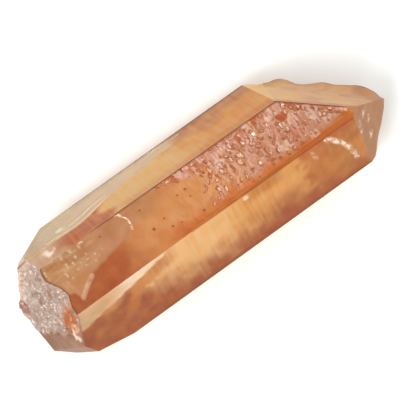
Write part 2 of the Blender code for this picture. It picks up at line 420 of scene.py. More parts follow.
# %% Pushes: centre, radius, height, direction
RIDGE_OUT, BASE_OUT, EDGE_OUT = (0.0, 0.5, 0.87), (-1.0, 0.0, 0.0), (0.6, 0.78, 0.0)
DENTS = {
    "ridge_chip": ((-18.3, 6.9, 7.3), 2.4, -0.5, RIDGE_OUT),
    "ridge_wear": ((-15.0, 6.6, 7.6), 3.0, -0.5, RIDGE_OUT),
    "ridge_nick": ((-9.3, 7.0, 7.5), 1.1, -0.22, RIDGE_OUT),
    "base_brow": ((-20.1, 5.2, 7.3), 2.0, 0.7, BASE_OUT),
    "base_bite": ((-19.6, 2.0, 7.5), 2.0, -0.6, (-1.0, 0.0, 0.26)),
    "hollow": ((-20.9, 0.5, 2.9), 1.6, -0.9, (-1.0, 0.0, 0.2)),
    "round_lump": ((-20.5, -0.9, 4.3), 1.2, 0.5, (-0.7, -0.4, 0.6)),
    "white_lump": ((-20.9, -1.9, 2.8), 1.1, 0.45, (-0.5, -0.6, 0.6)),
    "low_lump": ((-24.0, 6.6, -8.0), 1.4, 0.4, (-0.6, 0.8, 0.0)),
    "edge_swell": ((28.0, 1.8, -4.4), 4.2, 1.1, EDGE_OUT),
    "edge_swell_low": ((26.0, 4.6, -6.4), 3.4, 0.75, EDGE_OUT),
    "edge_scallop": ((22.6, 8.4, -8.0), 2.6, -0.15, (0.5, 0.8, 0.0)),
    "edge_notch": ((18.4, 10.4, -3.6), 1.8, -0.6, (0.5, 0.85, 0.0)),
    "edge_peak": ((20.9, 9.6, -6.2), 2.4, 0.55, EDGE_OUT),
    "edge_swell_mid": ((24.8, 6.4, -6.4), 2.6, 0.35, EDGE_OUT),
    "tip_chip": ((29.5, -0.9, -2.2), 1.6, -0.3, (1.0, 0.2, 0.0)),
    "front_scallop": ((26.6, -5.6, -2.2), 2.4, -0.3, (0.4, -0.9, 0.0)),
}


def pushes(point):
    """The sum of every push that reaches a point."""
    move = Vector()
    for centre, radius, height, direction in DENTS.values():
        share = 1.0 - (point - Vector(centre)).length_squared / radius**2
        if share > 0.0:
            move += Vector(direction).normalized() * height * share**2
    return move


print(len(DENTS), "pushes")

# %% [markdown]
# ## Moving a corner by the height of each of its faces
# A point inside one face moves along that face's normal. A point on an edge belongs to
# two faces with different heights, and adding both moves would push it too far. The right
# move raises it by each height over each face at once, which is a small set of equations.
# A little damping keeps the answer short where two faces are nearly parallel.

# %% The shortest move for a shared corner
DAMPING = 0.05


def face_shift(names, heights):
    normals = np.array([PLANES[n][0] for n in names])
    damped = normals @ normals.T + DAMPING * np.eye(len(names))
    return Vector(normals.T @ np.linalg.solve(damped, np.array(heights)))


print("two faces, 0.1 mm each:",
      [round(v, 3) for v in face_shift(["top", "upper_back"], [0.1, 0.1])])

# %% [markdown]
# ## Marks for the finer steps
# The node tree and the material need to know what a place is: crowded with pits, lined
# with striations, granular, or beside an edge with a painted dark line. Groups of vertices
# would be one way. Numbers on the vertices are simpler, and nodes read them by name. The
# dark line along some edges is painted shade, and each pair of faces may have its own share of it.

# %% How dark the painted shade line along the edge between two faces is
EDGE_SHADE = {
    frozenset(("rim", "upper_front")): 0.5,
    frozenset(("top", "upper_back")): 0.9,
    frozenset(("base", "top")): 0.8,
    frozenset(("base", "chip_corner")): 0.8,
    frozenset(("base", "upper_front")): 0.5,
    frozenset(("upper_back", "lower_back")): 0.9,
    frozenset(("upper_front", "lower_front")): 0.95,
    frozenset(("top", "major_back")): 1.0,
    frozenset(("top", "major_front")): 0.7,
    frozenset(("major_back", "major_under")): 0.7,
    frozenset(("major_back", "lower_back")): 0.7,
}
print(len(EDGE_SHADE), "stained edges")

# %% [markdown]
# ## The five marks
# Three marks say where pits, striations and grains may work, and how strongly. The other
# two are for the painted shade along edges: how far the nearest edge is, and how dark its
# painted line is. All of them are worked out at the place where a point lay before it was moved.

# %% The five marks of a place
MARKS = ("pitted", "striated", "granular", "margin", "edging")
HOLLOW = Vector(DENTS["hollow"][0])
WIDE_SEAM = 0.35  # makes the seam beside a lower face wider than elsewhere


def marks_at(point, names):
    on = names[0] if len(names) == 1 else None
    inside, beyond = nearest_edge(point, on) if on else (0.0, names[-1])
    striated = ramp(inside, 0.0, 0.8) if on in STRIATED else 0.0
    grainy = ramp(inside, 0.0, 0.4) * ramp(above_foot(point), -0.4, 0.2)
    grainy *= ramp((point - HOLLOW).length, 1.2, 2.0)
    # stain: how dark the painted shade line along this edge is
    stain = EDGE_SHADE.get(frozenset((names[0], beyond)), 0.0)
    return (
        crowding(point, inside) if on == "top" else 0.0,
        striated * (lined(point) if on == "upper_front" else 1.0),
        grainy if on in ("base", "chip_low") else 0.0,
        inside * (WIDE_SEAM if beyond in ("lower_back", "lower_front") else 1.0),
        stain if "base" in (names[0], beyond) else stain * ramp(point.x, -14.0, -10.0),
    )


print("marks:", ", ".join(MARKS))

# %% [markdown]
# ## Moving every vertex
# All the heights come together in one pass: the relief of the faces, the fracture, the
# pushes. Nothing may go below the resting face, or the crystal would sink into the
# table. Edges between two planes stay sharp, and all others are smooth, because the
# facets of the real crystal are flat and its edges are keen.

# %% Move the vertices and note their marks
rest_height = -PRISM_FACES["rest"][1]
marks = []
for vert in bm.verts:
    point = vert.co.copy()
    names = sorted({PLANE_NAMES[f[plane_layer] - 1] for f in vert.link_faces})
    heights = [relief(point, n) for n in names]
    if len(names) == 1:
        vert.co += PLANES[names[0]][0] * heights[0]
    elif any(heights):
        vert.co += face_shift(names, heights)
    vert.co.x -= fracture(point)
    vert.co += pushes(point)
    vert.co.z = rest_height if "rest" in names else max(vert.co.z, rest_height)
    marks.append(marks_at(point, names))
for edge in bm.edges:
    edge.smooth = len({f[plane_layer] for f in edge.link_faces}) == 1
for face in bm.faces:
    face.smooth = True
print(len(bm.verts), "vertices moved")

# %% [markdown]
# ## Where the iron went
# The orange is a film on the faces, thinner than paper. It could be mixed from textures in
# the material alone, but its borders follow this crystal's own faces, ridges and breaks,
# and nodes don't know those. So each place gets the colour of its film here, from its
# face and its place on that face: nearly clear by the broken end, golden in the middle,
# rusty where iron water pooled. A second number says how frosted the place is. Two noises,
# cloud and fine, bend every border. The material adds the fine texture later.
#
# In the rules below, the two numbers that end a ramp are millimetres: where a tone starts
# and where it is full. The factor in front of a ramp says how strongly the tone is laid
# on, and a factor on cloud or fine says how many millimetres it may bend the border.

# %% Colours that more than one face uses
def linear(code):
    """An sRGB hex colour as linear RGBA."""
    parts = [int(code[i:i + 2], 16) / 255 for i in (1, 3, 5)]
    return [p / 12.92 if p <= 0.04045 else ((p + 0.055) / 1.055) ** 2.4 for p in parts] + [1.0]


def film(code):
    return Vector(linear(code)[:3])


# CREAM also paints the highlights on the top, the tip faces and the upper front.
CREAM = film("#FFF1DE")  # veils, flakes and chips, which scatter white light
SHELL = film("#E2B494")
OLIVE = film("#E0C890")
AMBER = film("#D08830")
ORANGE = film("#DA7D21")
DEEP_ORANGE = film("#C86A14")
BROWN = film("#A55516")
TIP_BEIGE = film("#C99054")
PALE_STRAW = film("#FCFECD")
print("amber in linear light:", [round(v, 3) for v in AMBER])

# %% [markdown]
# ## Strokes and spots
# Cracks, veils and specks are drawn as a place's distance to a line or to a point, with a
# soft border. Nothing has to be cut into the mesh for them, and they stay as sharp as the
# cells are small.

# %% Distance to a drawn line, a stroke, and a spot
def off_line(u, v, line):
    """Distance from a place on a face to the nearest part of a drawn line."""
    nearest = math.inf
    for (u1, v1), (u2, v2) in zip(line, line[1:]):
        run, rise = u2 - u1, v2 - v1
        share = ((u - u1) * run + (v - v1) * rise) / (run * run + rise * rise)
        share = min(1.0, max(0.0, share))
        nearest = min(nearest, math.hypot(u - u1 - share * run, v - v1 - share * rise))
    return nearest


def on_line(u, v, line, width):
    return ramp(off_line(u, v, line), width, 0.4 * width)


def near(point, centre, radius):
    return ramp((point - Vector(centre)).length, radius, 0.6 * radius)


print("half a stroke:", round(on_line(0.0, 0.35, ((-1.0, 0.0), (1.0, 0.0)), 0.5), 2))

# %% [markdown]
# ## The top face: its ground
# From the break to the tip the top goes from burnt orange through melon to a dusty pink,
# which starts where the pits do. An orange band follows the worn rim, and a tan strip
# follows the back edge of the middle. A gradient texture would run straight through all
# of these, so each border has its own line.

# %% Ground colours of the top
TOP_BURNT = film("#BA621D")
TOP_MELON = film("#E6AC6A")
TOP_DUSTY = film("#D7A786")
TOP_TAN = film("#BF8B5E")


def ground_on_top(p, cloud, fine):
    tone = TOP_BURNT.lerp(TOP_MELON, ramp(p.x + 2.0 * cloud, -13.0, -5.0))
    # The orange band beside the rim is narrower toward the tip.
    band = ramp(p.y + 1.2 + 0.5 * cloud + 0.3 * fine, 2.6 - 0.07 * p.x, 0.3)
    tone = tone.lerp(ORANGE, 0.9 * band * ramp(p.x, -9.0, -3.0))
    # Dusty pink starts with the pits at the back, and later beside the rim.
    by_rim = ramp(p.y, 3.5, 1.5)
    past_pits = p.x + 2.0 * cloud - np.interp(p.y, *PIT_LINE)
    dusty = ramp(past_pits, -1.5 + 2.0 * by_rim, 4.5 + 3.5 * by_rim)
    tone = tone.lerp(TOP_DUSTY, dusty * (1.0 - 0.85 * band))
    # The tan strip lies along the back edge and ends at the middle.
    strip = ramp(p.y + cloud, 2.6, 5.2) * ramp(p.x + cloud, 0.0, -5.0)
    return tone.lerp(TOP_TAN, 0.7 * strip)


print("ground of the top:", [round(v, 2) for v in ground_on_top(Vector((0, 2, 7.6)), 0, 0)])

# %% [markdown]
# ## The top face: iron in its hollows
# Iron water stayed longest in the hollows, in the seam at the tip and along the back
# ridge, so these are the deepest orange. A few single spots are lighter or darker.

# %% Spots, hollows and the seam of the top
TOP_SPOTS = (
    ((15.4, 3.2, 7.6), 0.7, ORANGE), ((4.9, 4.7, 7.6), 0.9, AMBER),
    ((5.8, 3.6, 7.6), 0.8, CREAM), ((11.1, 5.5, 7.6), 0.45, CREAM),
    ((12.0, 5.3, 7.6), 0.8, AMBER), ((-8.8, 6.2, 7.7), 0.8, SHELL))
TOP_DIPS = [Vector((x, y, 7.5)) for x, y in (
    (15.8, 3.8), (15.5, 3.4), (12.6, 5.4), (17.8, 3.8), (9.6, 4.7), (13.5, 5.7), (16.0, 0.9))]
DIP_SIZE = 0.8
TIP_SEAM = ((16.0, 6.3), (17.6, 4.5), (18.8, 3.2), (21.4, 1.0), (22.8, -1.4))
SEAM_WIDTH = 0.9


def iron_on_top(tone, p, cloud, fine):
    for centre, radius, colour in TOP_SPOTS:
        bent = p + 0.5 * Vector((fine, cloud, 0.0))
        tone = tone.lerp(colour, 0.85 * near(bent, centre, radius))
    ridge = ramp(p.y, 3.8, 5.8) * ramp(p.x, -5.0, 0.0) * ramp(p.x, 10.0, 6.0)
    tone = tone.lerp(DEEP_ORANGE, 0.6 * ridge)
    bent = p + 0.3 * Vector((fine, cloud, 0.0))
    dips = max(near(bent, centre, DIP_SIZE) for centre in TOP_DIPS)
    seam = on_line(p.x, p.y + 0.3 * fine, TIP_SEAM, SEAM_WIDTH)
    return tone.lerp(DEEP_ORANGE, 0.7 * max(dips, seam))


print(len(TOP_SPOTS), "spots and", len(TOP_DIPS), "hollows on the top")

# %% [markdown]
# ## The top face: painted glints
# On the rough ground a few facets lean toward the light and flash. The relief makes many
# of them by itself. The largest ones are painted here as pale highlights, strokes and
# points, torn into strands, because whole ones look like paint.

# %% Painted highlights: strokes and points of light on the pitted ground
TOP_HIGHLIGHT_STROKES = (((5.9, 4.8), (5.3, 2.4)), ((7.6, 6.4), (6.6, 4.8)), ((0.3, 6.6), (1.2, 5.0)),
               ((1.6, 6.7), (2.3, 5.8)), ((3.6, 6.6), (4.0, 5.4)), ((14.6, 6.0), (15.4, 4.6)))
STROKE_WIDTH = 0.6
TOP_GLINTS = [Vector((x, y, 7.5)) for x, y in (
    (19.3, 1.8), (19.0, 1.2), (20.2, 0.5), (18.7, 2.6), (17.0, 2.9), (16.7, 2.3), (22.1, -0.3),
    (15.5, 2.3), (16.8, 1.8), (17.5, -0.7), (12.9, 0.9), (13.0, 0.2), (14.4, 0.4), (8.5, 4.9),
    (10.5, 3.4), (11.5, 3.9), (11.3, 5.3), (13.9, 4.6), (15.0, 5.1), (8.2, 4.4))]
GLINT_SIZE = 0.8


def glints_on_top(p, cloud, fine, strands):
    strokes = max(on_line(p.x, p.y, line, STROKE_WIDTH) for line in TOP_HIGHLIGHT_STROKES)
    strokes *= ramp(strands, -0.3, 0.2)
    bent = p + 0.3 * Vector((fine, cloud, 0.0))
    points = max(near(bent, centre, GLINT_SIZE) for centre in TOP_GLINTS)
    points *= ramp(strands + 0.4 * noise.noise(p / 0.3), -0.1, 0.2)
    return max(0.8 * strokes, 0.65 * points)


print(len(TOP_HIGHLIGHT_STROKES), "strokes and", len(TOP_GLINTS), "points of light")

# %% [markdown]
# ## The top face: the dull patch by the break
# Beside the break the skin of iron is worn to a dull tan patch, under flakes and
# splinters of clear quartz. It ends at a wavy line and at a thin white crack.

# %% The dull patch and what lies on it
TOP_AMBER = film("#C88F58")
TAN_LINE = np.array([(-19.6, 2.0), (-18.3, 1.4), (-18.0, 0.3), (-15.5, 2.0), (-13.0, 2.4),
                     (-9.8, 3.0), (-7.8, 3.7), (-7.0, 5.4), (0.0, 6.2)]).T


def patch_on_top(p, cloud, fine):
    """How far a place is in the dull patch, and the colour of the patch there."""
    # Everything behind the line is patch, and beyond the crack it is half as strong.
    patch = ramp(p.y - np.interp(p.x, *TAN_LINE) + 0.15 * fine, -0.2, 0.25)
    patch *= 1.0 - 0.5 * ramp(p.x, -8.0, -7.6)
    tan = TOP_AMBER.lerp(TOP_TAN, ramp(p.x + 0.7 * p.y + 1.5 * cloud, -14.5, -11.5))
    haze = ramp(p.y + 0.5 * cloud, 2.2, 3.4) * ramp(p.y + cloud, 5.2, 4.0)
    return patch, tan.lerp(SHELL, 0.2 * haze)


def flakes_on_patch(tone, p, patch, fine, strands):
    by_break = ramp(p.x, -15.8, -16.8)
    tone = tone.lerp(SHELL, 0.2 * patch * ramp(strands, 0.05, 0.3) * by_break)
    flakes = 0.9 * patch * ramp(p.x, -11.5, -13.5) * ramp(p.y, 2.5, 4.0)
    splinter = noise.noise(Vector((p.x / 2.0, p.y / 0.5, 5.0)))
    tone = tone.lerp(OLIVE, 0.35 * flakes * ramp(splinter, 0.05, 0.3))
    return tone.lerp(CREAM, 0.6 * flakes * ramp(noise.noise(p / 0.4) + 0.4 * fine, 0.4, 0.5))


print("the patch ends at y", [float(y) for y in TAN_LINE[1]])

# %% [markdown]
# ## The top face, put together
# The layers go on in the order in which they lie on the stone, with the painted highlights
# put between the patch and the flakes: ground, iron, patch, painted highlights, flakes, and
# last the cracks and a handful of rust specks.

# %% Film on the top: colour, and how frosted it is
RUST = film("#A04E1C")
TOP_CRACK = ((-8.6, 6.4), (-8.0, 5.7), (-7.6, 5.1), (-7.6, 4.3), (-7.8, 3.5))
CRACK_WIDTH = 0.16
TOP_SLIVER = ((-15.3, 1.9), (-16.4, 1.3), (-17.8, 0.3))
SLIVER_WIDTH = 0.4
TOP_SHARDS = ((-17.4, 5.6), (-15.7, 6.3)), ((-14.4, 6.5), (-14.9, 4.8))
SHARD_WIDTH = 0.5
IRON_SPECKS = [Vector((x, y, 7.6)) for x, y in (
    (-0.8, 3.6), (0.4, 3.6), (2.1, 1.8), (3.9, 0.6), (0.4, 2.5), (-3.9, 2.2),
    (-5.7, 4.9), (-2.4, 0.5), (-5.7, 1.9), (-3.6, 0.8), (0.7, 0.0), (-11.6, 5.2))]
SPECK_SIZE = 0.15


def film_on_top(p, cloud, fine):
    tone = iron_on_top(ground_on_top(p, cloud, fine), p, cloud, fine)
    patch, tan = patch_on_top(p, cloud, fine)
    strands = noise.noise(Vector((p.x / 0.35, p.y / 2.5, 2.0)))
    # the patch, then the painted highlights in cream
    tone = tone.lerp(tan, patch).lerp(CREAM, glints_on_top(p, cloud, fine, strands))
    tone = flakes_on_patch(tone, p, patch, fine, strands)
    sliver = on_line(p.x, p.y, TOP_SLIVER, SLIVER_WIDTH) * ramp(fine, -0.8, 0.0)
    shards = max(on_line(p.x, p.y, line, SHARD_WIDTH) for line in TOP_SHARDS)
    crack = 0.9 * on_line(p.x, p.y + 0.25 * fine, TOP_CRACK, CRACK_WIDTH)
    crack *= ramp(noise.noise(p / 0.2), -0.3, 0.1)
    speck = max(near(p, centre, SPECK_SIZE + 0.2 * abs(cloud)) for centre in IRON_SPECKS)
    tone = tone.lerp(OLIVE, 0.6 * shards * ramp(fine, -0.1, 0.1))
    tone = tone.lerp(CREAM, 0.3 * sliver).lerp(CREAM, crack).lerp(RUST, speck)
    return tone, 0.45 + 0.1 * patch + 0.4 * max(crack, 0.5 * sliver)


print("frost of the top:", round(film_on_top(Vector((0.0, 2.0, 7.6)), 0.0, 0.0)[1], 2))

# %% [markdown]
# ## The upper back face
# This face is gold, honey toward the tip, brown low down and redder by the ridge. A band
# by the broken end never took the stain: it is pale straw, with threads of cream and gold
# drawn out along the crystal, as growth draws them. The two are separate rules, because
# each has its own colours and they meet at a sharp border.

# %% The gold part and the pale part of the upper back face
BACK_GOLD = film("#FFD87C")
BACK_HONEY = film("#F4B032")
BACK_EDGE = film("#C98A48")


def gold_on_upper_back(p, cloud, fine):
    tone = BACK_GOLD.lerp(BACK_HONEY, ramp(p.x + 3.0 * cloud, 1.0, 9.0))
    tip_half = ramp(p.x, -1.0, 4.0)
    tone = tone.lerp(BACK_EDGE, ramp(-p.z + cloud, -3.0, 3.0) * tip_half)
    tone = tone.lerp(BROWN, 0.8 * ramp(-p.z + 0.5 * fine, 1.8, 3.6) * tip_half)
    by_ridge = ramp(p.z + 0.3 * fine, 5.0, 6.6) * ramp(p.x, -9.0, -6.0)
    return tone.lerp(DEEP_ORANGE, 0.4 * by_ridge)


def pale_on_upper_back(p, cloud):
    thread = noise.noise(Vector((p.x / 6.0, p.z / 0.6, 1.0)))
    tone = PALE_STRAW.lerp(CREAM, 0.7 * ramp(thread, 0.0, 0.3))
    tone = tone.lerp(BACK_GOLD, 0.35 * ramp(-thread, 0.0, 0.3))
    return tone.lerp(SHELL, 0.6 * ramp(-p.x + cloud, 16.5, 18.5))


print("gold:", [round(v, 2) for v in BACK_GOLD])

# %% [markdown]
# ## The upper back face, put together
# One line parts the pale band from the gold. A rusty band lies just above it, where iron
# water stood against the border, and it turns shell-coloured by the break. White streaks
# run along the border, each with a honey shadow under it, so that they look sunk in. A
# soft painted shadow darkens one spot of the gold.

# %% Film on the upper back face
BACK_END = film("#E8C09A")
PALE_LINE = np.array([(-16.9, 3.4), (-12.7, 3.6), (-10.0, 2.6), (-7.3, 1.8), (-1.8, 0.6),
                      (2.4, -0.1), (6.9, -1.4), (10.9, -1.5)]).T
BACK_STREAKS = (((-16.9, 2.9), (-12.7, 3.3), (-10.0, 2.6), (-7.3, 1.8)),
                ((-13.6, 2.1), (-12.3, 1.8), (-9.8, 1.1), (-7.5, 0.8)), ((0.9, -2.2), (5.3, -2.0)))
STREAK_WIDTH = 0.22
WHITE_SPOT = (-14.7, 10.1, 1.5)
BACK_SHADE_SPOT = (8.8, 9.9, 1.2)


def film_on_upper_back(p, cloud, fine):
    # How pale, how near the break, and how far into the rusty band above the border.
    border = np.interp(p.x, *PALE_LINE)
    pale = ramp(border - p.z + 0.15 * fine, -0.15, 0.15) * ramp(p.x + cloud, 6.0, 0.5)
    by_break = ramp(-p.x + 0.5 * cloud, 14.0, 18.5)
    band = ramp(p.z - border, 0.1, 0.5) * ramp(p.x + 1.5 * cloud, -7.5, -10.0)
    tone = gold_on_upper_back(p, cloud, fine).lerp(DEEP_ORANGE.lerp(BACK_END, by_break), band)
    tone = tone.lerp(pale_on_upper_back(p, cloud), pale * (1.0 - 0.4 * by_break))
    # White streaks, each with a honey shadow half a millimetre lower.
    at_z = p.z + 0.05 * fine
    streak = 0.8 * max(on_line(p.x, at_z, line, STREAK_WIDTH) for line in BACK_STREAKS)
    streak *= 0.6 + 0.4 * ramp(cloud, -0.2, 0.2)
    under_streak = max(on_line(p.x, p.z + 0.5, line, 0.3) for line in BACK_STREAKS)
    tone = tone.lerp(BACK_HONEY, 0.4 * under_streak)
    streak = max(streak, near(p, WHITE_SPOT, 0.7))
    # Painted shadow: a soft darker spot on the gold toward the tip.
    brown = near(p + 0.7 * Vector((fine, 0.0, cloud)), BACK_SHADE_SPOT, 2.4)
    tone = tone.lerp(BACK_EDGE, 0.5 * brown)
    # A cleaner strip in the middle of the gold is a little glossier.
    bright = ramp(p.z, 1.5, 3.5) * ramp(p.z, 6.0, 5.0) * ramp(p.x, -9.0, -7.0)
    frost = 0.48 - 0.23 * pale + 0.5 * streak + 0.1 * band - 0.08 * bright
    return tone.lerp(CREAM, streak), frost


print(len(BACK_STREAKS), "white streaks on the upper back face")

# %% [markdown]
# ## The upper front face
# Gold in the middle, honey and amber toward the tip, and rusty brown below a wavy border
# that sinks from the broken end to the tip. Where the brown is thick, by the broken end,
# amber glows through it in clouds.

# %% Gold, amber and brown of the upper front face
FRONT_GOLD = film("#FDD593")
FRONT_HONEY = film("#F0BA65")
BROWN_LINE = np.array([
    (-20.0, 7.0), (-12.5, 6.4), (-10.0, 5.0), (-7.5, 3.0), (-5.0, 2.0), (0.0, 2.0),
    (2.5, 1.7), (5.0, 1.9), (10.0, 2.6), (12.5, 2.6), (15.0, 1.4), (17.5, 0.0)]).T
# Painted glints on the gold: soft gold and cream spots.
FRONT_GLINTS = (((-8.6, -2.6, 5.0), 0.9, FRONT_GOLD), ((-7.6, -2.3, 5.6), 0.7, CREAM),
               ((-10.2, -2.8, 4.5), 0.7, FRONT_GOLD))


def ground_on_upper_front(p, cloud, fine):
    """The colour of a place, and how brown it is."""
    tone = FRONT_GOLD.lerp(FRONT_HONEY, ramp(p.x + 3.0 * cloud + fine, 0.0, 6.0))
    tone = tone.lerp(AMBER, ramp(p.x + 1.5 * cloud + fine, 13.5, 15.0))
    # Brown below the border, with amber glowing through it by the broken end.
    border = np.interp(p.x, *BROWN_LINE) + 1.4 * cloud + 0.4 * fine
    low = ramp(border - p.z, -2.8, 2.6)
    glow = ramp(noise.noise(p / 2.2), -0.2, 0.5) * ramp(p.x, -7.0, -11.0) * ramp(p.z, 0.5, 3.5)
    tone = tone.lerp(BROWN.lerp(AMBER, 0.6 * glow), low)
    # painted glints
    for centre, radius, colour in FRONT_GLINTS:
        bent = p + 0.8 * Vector((cloud, 0.0, fine))
        tone = tone.lerp(colour, 0.7 * near(bent, centre, radius))
    return tone, low


print("brown ends at z", [float(z) for z in BROWN_LINE[1]])

# %% [markdown]
# ## The pale wedge under the ridge
# By the broken end a wedge of this face was shielded and stayed pale, with an olive grain
# and bright lips where it meets the ridge and the brown. It is drawn as everything above
# one slanting line.

# %% The wedge: how pale, which colour, how bright its lips
FRONT_PALE = film("#FDD29F")
WEDGE_LINE = np.array([(-20.1, 4.8), (-6.3, 7.3), (-4.0, 7.9)]).T


def wedge_on_upper_front(p, fine):
    over = p.z - np.interp(p.x, *WEDGE_LINE)
    pale = ramp(over + 0.12 * fine, -0.12, 0.12) * ramp(p.x, -5.8, -7.0)
    # Olive grain by the broken end, bright lips at the ridge and at the brown.
    grain = noise.noise(Vector((p.x / 1.8, p.z / 0.5, 3.0)))
    tone = FRONT_PALE.lerp(OLIVE, 0.6 * ramp(-p.x, 9.0, 15.0) * ramp(grain, -0.1, 0.3))
    lip = (0.5 + 0.5 * ramp(over, 0.5, 0.2)) * ramp(p.x, -16.5, -13.0)
    by_ridge = ramp(p.z, 6.1, 6.9) * ramp(p.x, -15.0, -12.0) * ramp(p.x, -6.5, -8.5)
    below = ramp(over, -2.6, -1.4) * ramp(p.x, -13.5, -11.0) * ramp(p.x, -4.5, -7.0)
    return pale, tone, pale * max(lip, by_ridge), below


print("the wedge ends at x", float(WEDGE_LINE[0][-1]))

# %% [markdown]
# ## The tip end of the upper front face, and its veils
# Toward the tip the face turns beige and brown above one more line, and deep orange along
# the ridge. Two veils cross it: old cracks that healed and kept thousands of tiny bubbles.
# They look like torn feathers of white, so they are strokes broken by a fine noise.

# %% Tip end and veils
ABOVE_LINE = np.array([(14.0, 7.5), (18.0, 6.0), (20.5, 3.6), (22.5, -1.0)]).T
FEATHER = ((18.2, 7.0), (19.2, 5.9), (20.1, 4.8), (20.5, 4.1), (20.9, 2.6), (21.2, 1.2))
SMALL_FEATHER = ((16.0, 6.3), (16.1, 5.6), (16.3, 4.7))
FRONT_HIGHLIGHT_SPOT = (5.8, -1.8, 6.8)


def tip_of_upper_front(tone, p, cloud):
    # Beige clouds and a brown upper edge, beyond the line where the tip end starts.
    above = ramp(p.z - np.interp(p.x, *ABOVE_LINE), -0.8, 0.8) * ramp(p.x, 13.0, 17.0)
    tone = tone.lerp(TIP_BEIGE, 0.6 * above * ramp(cloud, -0.4, 0.2))
    tone = tone.lerp(BROWN, 0.5 * above * ramp(p.z, 3.6, 4.8))
    # Amber and then deep orange right under the ridge.
    amber = ramp(p.z, 5.2, 6.4) * ramp(p.x, 5.0, 7.5) * ramp(p.x, 12.0, 10.5)
    tone = tone.lerp(AMBER, 0.8 * amber)
    return tone.lerp(DEEP_ORANGE, 0.6 * ramp(p.z, 5.8, 6.8) * ramp(p.x, 13.0, 15.5)), above


def veils_on_upper_front(p, fine):
    veil = max(on_line(p.x, p.z, FEATHER, 0.5), 0.6 * on_line(p.x, p.z, SMALL_FEATHER, 0.4))
    veil *= ramp(0.6 * fine + noise.noise(p / 0.16), -0.3, 0.3)
    # The small white spot beside the veils is a painted highlight.
    return max(0.9 * veil, 0.8 * near(p, FRONT_HIGHLIGHT_SPOT, 0.5))


print(len(FEATHER), "points along the large veil")

# %% [markdown]
# ## The upper front face, put together
# The layers lie as on the stone: ground, the amber under the wedge, the wedge, the tip
# end, and the white of lips and veils last. The foot of the face is a little more
# frosted, because it faces the paper and would otherwise mirror it.

# %% Film on the upper front face
def film_on_upper_front(p, cloud, fine):
    tone, low = ground_on_upper_front(p, cloud, fine)
    pale, straw, lips, below = wedge_on_upper_front(p, fine)
    tone = tone.lerp(AMBER, 0.75 * below).lerp(straw, pale)
    tone, above = tip_of_upper_front(tone, p, cloud)
    white = max(0.8 * lips, veils_on_upper_front(p, fine))
    foot = 0.2 * ramp(-p.z, -0.5, 1.5) * ramp(p.x, 0.0, 6.0)
    frost = 0.48 - 0.13 * pale + 0.14 * max(low, above) * (1.0 - pale) + 0.3 * white + foot
    return tone.lerp(CREAM, 0.9 * white), frost


print("frost of the upper front:", round(film_on_upper_front(Vector((0, -3, 4)), 0, 0)[1], 2))

# %% [markdown]
# ## The lower faces and the resting face
# They see little light and little water. They get a plain, cloudy honey film, and are
# nearly clear by the broken end.

# %% Film on the underside
CLEAR = film("#FFF8E4")
UNDER_GOLD = film("#FFD8A0")
UNDER_HONEY = film("#FAC080")


def film_on_underside(p, cloud, fine):
    clear = ramp(p.x + cloud, -12.0, -16.0)
    tone = UNDER_GOLD.lerp(UNDER_HONEY, ramp(cloud, -0.3, 0.5))
    return tone.lerp(CLEAR, 0.6 * clear), 0.4 - 0.2 * clear


print("frost of the underside:", round(film_on_underside(Vector((0, 0, -9)), 0, 0)[1], 2))

# %% [markdown]
# ## The broken base
# Broken quartz is nearly white, like crushed ice. Here it is greyed by crumbs, rusty in
# its hollow and brown on its smooth foot, with a red lump at the lower back corner.

# %% Film on the break
BROKEN = film("#B9A699")
FOOT = film("#9D653A")
DARK_RED = film("#9A5648")
RUSTY_HOLLOW = (0.0, -0.2, 1.9)
SHELL_LUMP = (0.0, -1.2, 4.2)
WHITE_LUMP = (0.0, -2.2, 2.5)
RED_LUMP = (-23.8, 6.6, -8.0)


def film_on_break(p, cloud, fine):
    # Crumbs of broken quartz above the foot line, smooth brown stone below it.
    grit = ramp(above_foot(p) + 0.5 * fine, -0.3, 0.2)
    crumbs = noise.noise(p / 0.35) + noise.noise(p / 0.8)
    tone = FOOT.lerp(BROKEN.lerp(FOOT, 0.35 * ramp(crumbs + cloud, 0.0, 0.6)), grit)
    tone = tone.lerp(FOOT, 0.6 * ramp(p.y + 0.5 * cloud, 2.0, -3.0))
    tone = tone.lerp(SHELL.lerp(CREAM, 0.6), 0.5 * ramp(p.y - 0.3 * p.z, 6.0, 10.0))
    # The rusty hollow and the three lumps have ragged borders.
    face = Vector((0.0, p.y + 0.3 * crumbs, p.z + 0.8 * fine))
    sunk = near(Vector((0.0, face.y, 0.5 * face.z)), RUSTY_HOLLOW, 1.9)
    tone = tone.lerp(ORANGE, 0.9 * sunk).lerp(SHELL, near(face, SHELL_LUMP, 1.0))
    tone = tone.lerp(DARK_RED, 0.8 * near(p, RED_LUMP, 1.6))
    tone = tone.lerp(CREAM, 0.9 * near(face, WHITE_LUMP, 1.1))
    return tone, 0.5 + 0.3 * grit - 0.35 * sunk


print("frost of the break:", round(film_on_break(Vector((-21.6, 4, 2)), 0, 0)[1], 2))

# %% [markdown]
# ## The faces of the tip
# They are apricot with shell-coloured clouds, paler on the shoulder and beige low down and
# on the front one. A few painted highlights sit on them, where small facets would sparkle.

# %% Film on the tip
CAP_APRICOT = film("#FFCE88")
SHOULDER_PALE = film("#FFDD8C")
CAP_HIGHLIGHTS = [Vector(place) for place in (
    (25.6, -1.2, 3.8), (24.5, -1.9, 4.4), (23.3, -2.7, 4.8), (23.1, -3.5, 3.7),
    (24.5, -3.9, 0.8), (25.1, -2.4, 2.6), (24.4, 3.2, -1.0))]
SPARKLE_SIZE = 0.7


